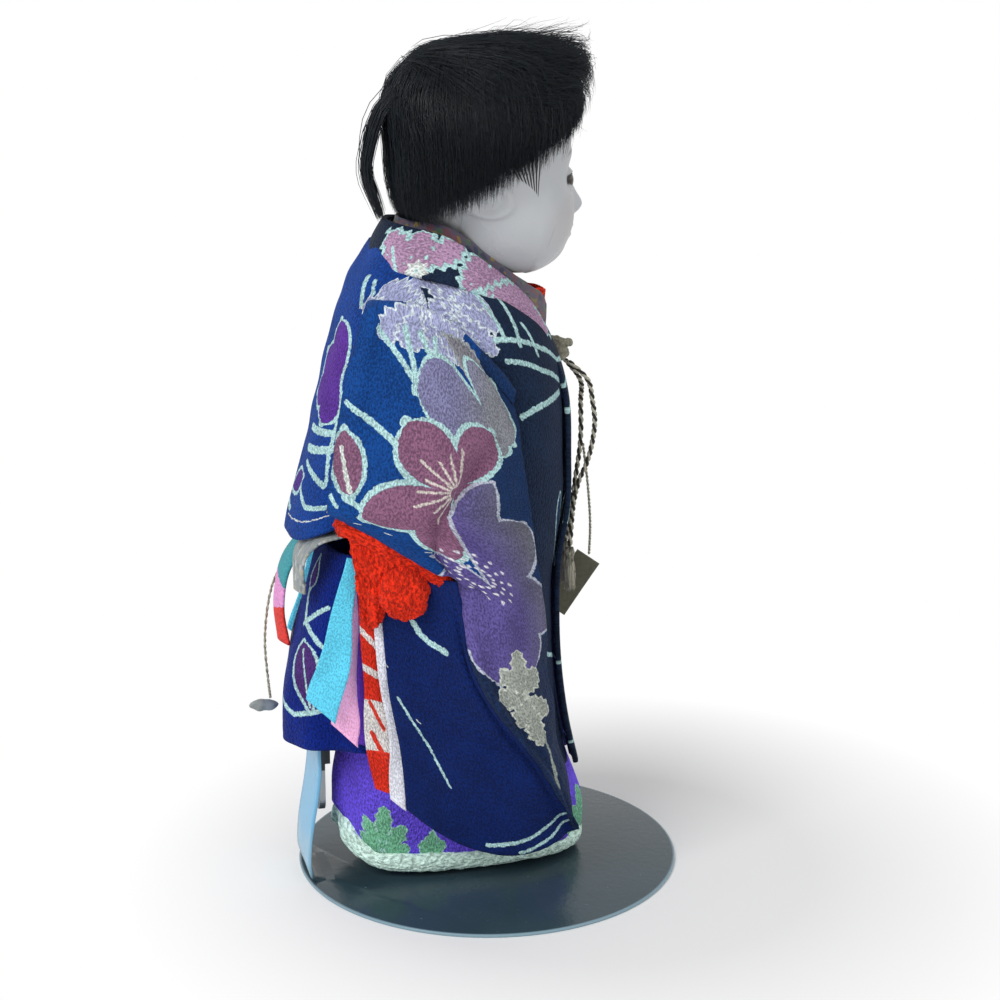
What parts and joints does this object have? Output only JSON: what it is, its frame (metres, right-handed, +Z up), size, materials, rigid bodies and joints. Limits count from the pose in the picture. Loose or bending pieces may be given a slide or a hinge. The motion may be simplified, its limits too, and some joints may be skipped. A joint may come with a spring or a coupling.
{
  "type": "ichimatsu doll on a stand",
  "caption": "Ichimatsu doll in a flowered haori over a long-sleeved kimono, with a turning head and swinging limbs, held at the waist by a round stand whose post slides up and down.",
  "frame": {"origin": "centre of the stand plate's underside", "axes": "+Z up, the doll faces -Y, its right hand is toward -X and the stand's tongue is at +Y"},
  "size_m": [0.114, 0.127, 0.2447],
  "materials": {
    "enamel": "glossy baked enamel with wear",
    "dark_steel": "black japanned strip",
    "bright_steel": "plated wire and strap",
    "vinyl": "slip-on vinyl sleeve",
    "composition": "sawdust composition",
    "gofun": "oyster-shell gesso, burnished, over sawdust composition",
    "eye_glass": "polished black glass eye",
    "hair": "black hair on a cloth cap",
    "stuffed_cotton": "stuffed cotton",
    "blue_crepe": "printed silk crepe",
    "deep_blue_crepe": "printed silk crepe, folded band",
    "red_crepe": "plain red crepe",
    "purple_crepe": "printed silk crepe",
    "mint_crepe": "padded crepe hem",
    "striped_crepe": "red and white crepe",
    "pink_silk": "plain silk",
    "aqua_silk": "plain silk",
    "white_silk": "plain white lining",
    "brocade": "woven brocade",
    "silver_brocade": "woven silver brocade",
    "olive_silk": "braided silk",
    "card": "plain card",
    "thread": "cotton thread"
  },
  "bodies": {
    "stand": {"stand_base": "enamel", "post_guide": "dark_steel", "guide_rivet_right": "bright_steel", "guide_rivet_left": "bright_steel"},
    "doll": {"stand_post": "bright_steel", "waist_grip": "bright_steel", "grip_tip_right": "vinyl", "grip_tip_left": "vinyl", "torso": "composition", "under_robe": "red_crepe", "kimono": "purple_crepe", "kimono_hem": "mint_crepe", "obi": "silver_brocade", "obi_knot": "silver_brocade", "obi_tail_silver": "silver_brocade", "obi_tail_rose": "pink_silk", "haori_front_right": "blue_crepe", "haori_front_left": "blue_crepe", "haori_back": "blue_crepe", "haori_back_skirt": "blue_crepe", "haori_collar": "deep_blue_crepe", "kimono_collar": "brocade", "under_collar": "red_crepe", "himo_knot": "olive_silk", "himo_cord_right": "olive_silk", "himo_cord_left": "olive_silk", "himo_tassel_right": "olive_silk", "himo_tassel_left": "olive_silk", "paper_tag": "card", "tag_thread": "thread", "obi_cord_end": "thread", "obi_cord_silk": "olive_silk"},
    "head": {"head": "gofun", "eye_right": "eye_glass", "eye_left": "eye_glass", "wig": "hair", "back_lock": "hair"},
    "right_arm": {"upper_arm_right": "stuffed_cotton", "hand_right": "gofun", "haori_sleeve_right": "blue_crepe", "red_sleeve_right": "red_crepe", "sleeve_lining_right": "white_silk", "striped_sleeve_right": "striped_crepe", "kimono_sleeve_right": "purple_crepe", "pink_sleeve_right": "pink_silk", "aqua_sleeve_right": "aqua_silk"},
    "left_arm": {"upper_arm_left": "stuffed_cotton", "hand_left": "gofun", "haori_sleeve_left": "blue_crepe", "red_sleeve_left": "red_crepe", "sleeve_lining_left": "white_silk", "striped_sleeve_left": "striped_crepe", "kimono_sleeve_left": "purple_crepe", "pink_sleeve_left": "pink_silk", "aqua_sleeve_left": "aqua_silk"},
    "right_leg": {"thigh_right": "stuffed_cotton", "leg_right": "gofun"},
    "left_leg": {"thigh_left": "stuffed_cotton", "leg_left": "gofun"}
  },
  "joints": [
    {"name": "stand_height", "type": "slide", "parent": "stand", "child": "doll", "axis": [0, 0, 1], "range_m": [0, 0.02]},
    {"name": "neck_turn", "type": "hinge", "parent": "doll", "child": "head", "pos_m": [0, 0.005, 0.172], "axis": [0, 0, 1], "range_deg": [-10, 10]},
    {"name": "right_shoulder", "type": "hinge", "parent": "doll", "child": "right_arm", "pos_m": [-0.0296, 0.02, 0.154], "axis": [1, 0, 0], "range_deg": [-20, 10]},
    {"name": "left_shoulder", "type": "hinge", "parent": "doll", "child": "left_arm", "pos_m": [0.0296, 0.02, 0.154], "axis": [1, 0, 0], "range_deg": [-20, 10]},
    {"name": "right_hip", "type": "hinge", "parent": "doll", "child": "right_leg", "pos_m": [-0.0066, 0.01, 0.0877], "axis": [1, 0, 0], "range_deg": [-7, 12]},
    {"name": "left_hip", "type": "hinge", "parent": "doll", "child": "left_leg", "pos_m": [0.0066, 0.01, 0.0877], "axis": [1, 0, 0], "range_deg": [-7, 12]}
  ]
}
